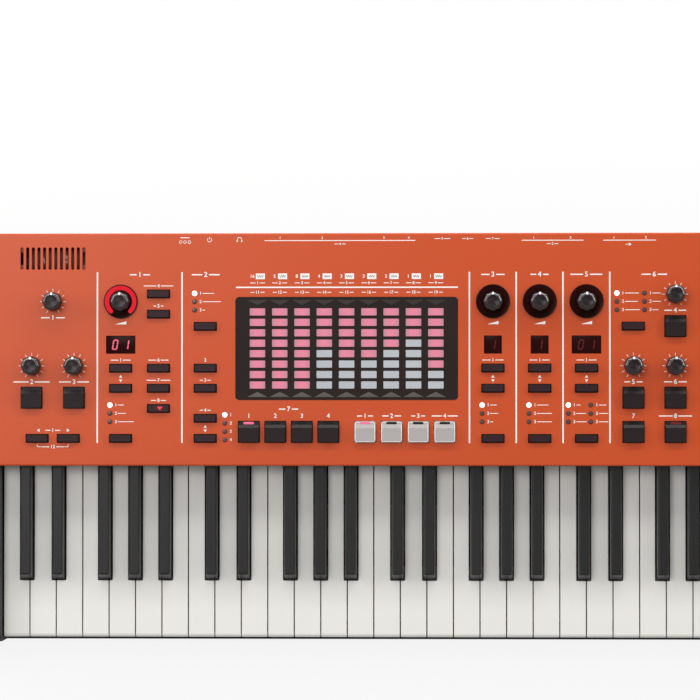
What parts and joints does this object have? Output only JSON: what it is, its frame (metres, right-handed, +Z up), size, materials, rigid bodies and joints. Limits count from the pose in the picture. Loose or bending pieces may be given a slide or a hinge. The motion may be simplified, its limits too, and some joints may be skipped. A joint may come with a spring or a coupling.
{
  "type": "combo organ",
  "caption": "Stage organ with a hinged waterfall keyboard, a pierced metal control panel with knobs, buttons, displays and a touch window, and a socketed rear plate.",
  "frame": {"origin": "on the floor under the middle of the case's outline", "axes": "+X to the player's right, +Y to the rear, +Z up"},
  "size_m": [1.114, 0.361, 0.107],
  "materials": {
    "panel_paint": "satin orange-red paint",
    "case_paint": "fine-textured black powder coat",
    "cheek_plastic": "moulded, lightly grained",
    "bed_metal": "drawn section",
    "felt": "pressed felt",
    "board_laminate": "solder-masked laminate",
    "component_metal": "plated",
    "component_plastic": "moulded",
    "smoked_window": "polished, smoked",
    "red_window": "polished, dark red",
    "light_pipe": "clear to milky",
    "collar_plastic": "polished, translucent ring",
    "valve_glass": "clear, silvered getter",
    "socket_metal": "nickel-plated nuts on black bodies",
    "socket_plastic": "moulded",
    "foot_rubber": "matt",
    "screw_steel": "black zinc",
    "knob_plastic": "polished black",
    "button_black": "satin",
    "button_pale": "satin",
    "key_white": "polished",
    "key_black": "satin"
  },
  "bodies": {
    "case": {"top_panel": "panel_paint", "bottom_case": "case_paint", "rear_plate": "case_paint", "left_cheek": "cheek_plastic", "right_cheek": "cheek_plastic", "keybed_frame": "bed_metal", "key_felts": "felt", "circuit_boards": "board_laminate", "potentiometers": "component_metal", "push_switches": "component_plastic", "touch_window": "smoked_window", "light_modules": "component_plastic", "display_windows": "red_window", "indicator_lights": "light_pipe", "level_collars": "collar_plastic", "valve_module": "valve_glass", "jack_sockets": "socket_metal", "rear_sockets": "socket_plastic", "feet": "foot_rubber", "case_screws": "screw_steel"},
    "naturals_low": {"naturals_low": "key_white"},
    "sharps_low": {"sharps_low": "key_black"},
    "naturals_middle": {"naturals_middle": "key_white"},
    "sharps_middle": {"sharps_middle": "key_black"},
    "naturals_high": {"naturals_high": "key_white"},
    "sharps_high": {"sharps_high": "key_black"},
    "pitch_lever": {"pitch_lever": "knob_plastic"},
    "power_button": {"power_button": "button_black"},
    "octave_buttons": {"octave_buttons": "button_black"},
    "organ_buttons": {"organ_buttons": "button_black"},
    "control_buttons": {"control_buttons": "button_black"},
    "electric_piano_buttons": {"electric_piano_buttons": "button_black"},
    "piano_buttons": {"piano_buttons": "button_black"},
    "layer_buttons": {"layer_buttons": "button_black"},
    "effect_select_button": {"effect_select_button": "button_black"},
    "valve_drive_button": {"valve_drive_button": "button_black"},
    "dynamics_button": {"dynamics_button": "button_black"},
    "effect_button": {"effect_button": "button_black"},
    "delay_button": {"delay_button": "button_black"},
    "reverb_button": {"reverb_button": "button_black"},
    "equaliser_button": {"equaliser_button": "button_black"},
    "tap_tempo_button": {"tap_tempo_button": "button_black"},
    "scene_button_1": {"scene_button_1": "button_black"},
    "scene_button_2": {"scene_button_2": "button_black"},
    "scene_button_3": {"scene_button_3": "button_black"},
    "scene_button_4": {"scene_button_4": "button_black"},
    "tone_button_1": {"tone_button_1": "button_pale"},
    "tone_button_2": {"tone_button_2": "button_pale"},
    "tone_button_3": {"tone_button_3": "button_pale"},
    "tone_button_4": {"tone_button_4": "button_pale"},
    "volume_knob": {"volume_knob": "knob_plastic"},
    "valve_drive_knob": {"valve_drive_knob": "knob_plastic"},
    "dynamics_knob": {"dynamics_knob": "knob_plastic"},
    "effect_knob": {"effect_knob": "knob_plastic"},
    "delay_knob": {"delay_knob": "knob_plastic"},
    "reverb_knob": {"reverb_knob": "knob_plastic"},
    "organ_level_knob": {"organ_level_knob": "knob_plastic"},
    "electric_piano_level_knob": {"electric_piano_level_knob": "knob_plastic"},
    "piano_level_knob": {"piano_level_knob": "knob_plastic"},
    "layer_level_knob": {"layer_level_knob": "knob_plastic"}
  },
  "joints": [
    {"name": "naturals_low_press", "type": "hinge", "parent": "case", "child": "naturals_low", "pos_m": [0, 0.02, 0.0567], "axis": [1, 0, 0], "range_deg": [0, 2.9], "stiffness_Nm_per_rad": 8, "springref_deg": -16.04},
    {"name": "sharps_low_press", "type": "hinge", "parent": "case", "child": "sharps_low", "pos_m": [0, 0.02, 0.0567], "axis": [1, 0, 0], "range_deg": [0, 2.9], "stiffness_Nm_per_rad": 6, "springref_deg": -13.75},
    {"name": "naturals_middle_press", "type": "hinge", "parent": "case", "child": "naturals_middle", "pos_m": [0, 0.02, 0.0567], "axis": [1, 0, 0], "range_deg": [0, 2.9], "stiffness_Nm_per_rad": 8, "springref_deg": -16.04},
    {"name": "sharps_middle_press", "type": "hinge", "parent": "case", "child": "sharps_middle", "pos_m": [0, 0.02, 0.0567], "axis": [1, 0, 0], "range_deg": [0, 2.9], "stiffness_Nm_per_rad": 6, "springref_deg": -13.75},
    {"name": "naturals_high_press", "type": "hinge", "parent": "case", "child": "naturals_high", "pos_m": [0, 0.02, 0.0567], "axis": [1, 0, 0], "range_deg": [0, 2.9], "stiffness_Nm_per_rad": 8, "springref_deg": -16.04},
    {"name": "sharps_high_press", "type": "hinge", "parent": "case", "child": "sharps_high", "pos_m": [0, 0.02, 0.0567], "axis": [1, 0, 0], "range_deg": [0, 2.9], "stiffness_Nm_per_rad": 6, "springref_deg": -13.75},
    {"name": "pitch_lever_rock", "type": "hinge", "parent": "case", "child": "pitch_lever", "pos_m": [-0.531, -0.0695, 0.07], "axis": [1, 0, 0], "range_deg": [-20, 20], "stiffness_Nm_per_rad": 0.2},
    {"name": "power_press", "type": "slide", "parent": "case", "child": "power_button", "axis": [0, -1, 0], "range_m": [0, 0.0015], "stiffness_N_per_m": 400, "springref_m": -0.003},
    {"name": "octave_press", "type": "slide", "parent": "case", "child": "octave_buttons", "axis": [0, 0, -1], "range_m": [0, 0.0012], "stiffness_N_per_m": 400, "springref_m": -0.003},
    {"name": "organ_press", "type": "slide", "parent": "case", "child": "organ_buttons", "axis": [0, 0, -1], "range_m": [0, 0.0012], "stiffness_N_per_m": 400, "springref_m": -0.003},
    {"name": "control_press", "type": "slide", "parent": "case", "child": "control_buttons", "axis": [0, 0, -1], "range_m": [0, 0.0012], "stiffness_N_per_m": 400, "springref_m": -0.003},
    {"name": "electric_piano_press", "type": "slide", "parent": "case", "child": "electric_piano_buttons", "axis": [0, 0, -1], "range_m": [0, 0.0012], "stiffness_N_per_m": 400, "springref_m": -0.003},
    {"name": "piano_press", "type": "slide", "parent": "case", "child": "piano_buttons", "axis": [0, 0, -1], "range_m": [0, 0.0012], "stiffness_N_per_m": 400, "springref_m": -0.003},
    {"name": "layer_press", "type": "slide", "parent": "case", "child": "layer_buttons", "axis": [0, 0, -1], "range_m": [0, 0.0012], "stiffness_N_per_m": 400, "springref_m": -0.003},
    {"name": "effect_select_press", "type": "slide", "parent": "case", "child": "effect_select_button", "axis": [0, 0, -1], "range_m": [0, 0.0012], "stiffness_N_per_m": 400, "springref_m": -0.003},
    {"name": "valve_drive_press", "type": "slide", "parent": "case", "child": "valve_drive_button", "axis": [0, 0, -1], "range_m": [0, 0.0012], "stiffness_N_per_m": 400, "springref_m": -0.003},
    {"name": "dynamics_press", "type": "slide", "parent": "case", "child": "dynamics_button", "axis": [0, 0, -1], "range_m": [0, 0.0012], "stiffness_N_per_m": 400, "springref_m": -0.003},
    {"name": "effect_press", "type": "slide", "parent": "case", "child": "effect_button", "axis": [0, 0, -1], "range_m": [0, 0.0012], "stiffness_N_per_m": 400, "springref_m": -0.003},
    {"name": "delay_press", "type": "slide", "parent": "case", "child": "delay_button", "axis": [0, 0, -1], "range_m": [0, 0.0012], "stiffness_N_per_m": 400, "springref_m": -0.003},
    {"name": "reverb_press", "type": "slide", "parent": "case", "child": "reverb_button", "axis": [0, 0, -1], "range_m": [0, 0.0012], "stiffness_N_per_m": 400, "springref_m": -0.003},
    {"name": "equaliser_press", "type": "slide", "parent": "case", "child": "equaliser_button", "axis": [0, 0, -1], "range_m": [0, 0.0012], "stiffness_N_per_m": 400, "springref_m": -0.003},
    {"name": "tap_tempo_press", "type": "slide", "parent": "case", "child": "tap_tempo_button", "axis": [0, 0, -1], "range_m": [0, 0.0012], "stiffness_N_per_m": 400, "springref_m": -0.003},
    {"name": "scene_1_press", "type": "slide", "parent": "case", "child": "scene_button_1", "axis": [0, 0, -1], "range_m": [0, 0.0012], "stiffness_N_per_m": 400, "springref_m": -0.003},
    {"name": "scene_2_press", "type": "slide", "parent": "case", "child": "scene_button_2", "axis": [0, 0, -1], "range_m": [0, 0.0012], "stiffness_N_per_m": 400, "springref_m": -0.003},
    {"name": "scene_3_press", "type": "slide", "parent": "case", "child": "scene_button_3", "axis": [0, 0, -1], "range_m": [0, 0.0012], "stiffness_N_per_m": 400, "springref_m": -0.003},
    {"name": "scene_4_press", "type": "slide", "parent": "case", "child": "scene_button_4", "axis": [0, 0, -1], "range_m": [0, 0.0012], "stiffness_N_per_m": 400, "springref_m": -0.003},
    {"name": "tone_1_press", "type": "slide", "parent": "case", "child": "tone_button_1", "axis": [0, 0, -1], "range_m": [0, 0.0012], "stiffness_N_per_m": 400, "springref_m": -0.003},
    {"name": "tone_2_press", "type": "slide", "parent": "case", "child": "tone_button_2", "axis": [0, 0, -1], "range_m": [0, 0.0012], "stiffness_N_per_m": 400, "springref_m": -0.003},
    {"name": "tone_3_press", "type": "slide", "parent": "case", "child": "tone_button_3", "axis": [0, 0, -1], "range_m": [0, 0.0012], "stiffness_N_per_m": 400, "springref_m": -0.003},
    {"name": "tone_4_press", "type": "slide", "parent": "case", "child": "tone_button_4", "axis": [0, 0, -1], "range_m": [0, 0.0012], "stiffness_N_per_m": 400, "springref_m": -0.003},
    {"name": "volume_turn", "type": "hinge", "parent": "case", "child": "volume_knob", "pos_m": [-0.45885, 0.12025, 0.092], "axis": [0, 0, 1], "range_deg": [-150, 150]},
    {"name": "valve_drive_turn", "type": "hinge", "parent": "case", "child": "valve_drive_knob", "pos_m": [-0.4776, 0.06365, 0.092], "axis": [0, 0, 1], "range_deg": [-150, 150]},
    {"name": "dynamics_turn", "type": "hinge", "parent": "case", "child": "dynamics_knob", "pos_m": [-0.4401, 0.06365, 0.092], "axis": [0, 0, 1], "range_deg": [-150, 150]},
    {"name": "effect_turn", "type": "hinge", "parent": "case", "child": "effect_knob", "pos_m": [0.08885, 0.12645, 0.092], "axis": [0, 0, 1], "range_deg": [-150, 150]},
    {"name": "delay_turn", "type": "hinge", "parent": "case", "child": "delay_knob", "pos_m": [0.05205, 0.06365, 0.092], "axis": [0, 0, 1], "range_deg": [-150, 150]},
    {"name": "reverb_turn", "type": "hinge", "parent": "case", "child": "reverb_knob", "pos_m": [0.08885, 0.06365, 0.092], "axis": [0, 0, 1], "range_deg": [-150, 150]},
    {"name": "organ_level_turn", "type": "hinge", "parent": "case", "child": "organ_level_knob", "pos_m": [-0.3989, 0.12025, 0.092], "axis": [0, 0, 1], "range_deg": [-150, 150]},
    {"name": "electric_piano_level_turn", "type": "hinge", "parent": "case", "child": "electric_piano_level_knob", "pos_m": [-0.0711, 0.12025, 0.092], "axis": [0, 0, 1], "range_deg": [-150, 150]},
    {"name": "piano_level_turn", "type": "hinge", "parent": "case", "child": "piano_level_knob", "pos_m": [-0.03005, 0.12025, 0.092], "axis": [0, 0, 1], "range_deg": [-150, 150]},
    {"name": "layer_level_turn", "type": "hinge", "parent": "case", "child": "layer_level_knob", "pos_m": [0.011, 0.12025, 0.092], "axis": [0, 0, 1], "range_deg": [-150, 150]}
  ]
}
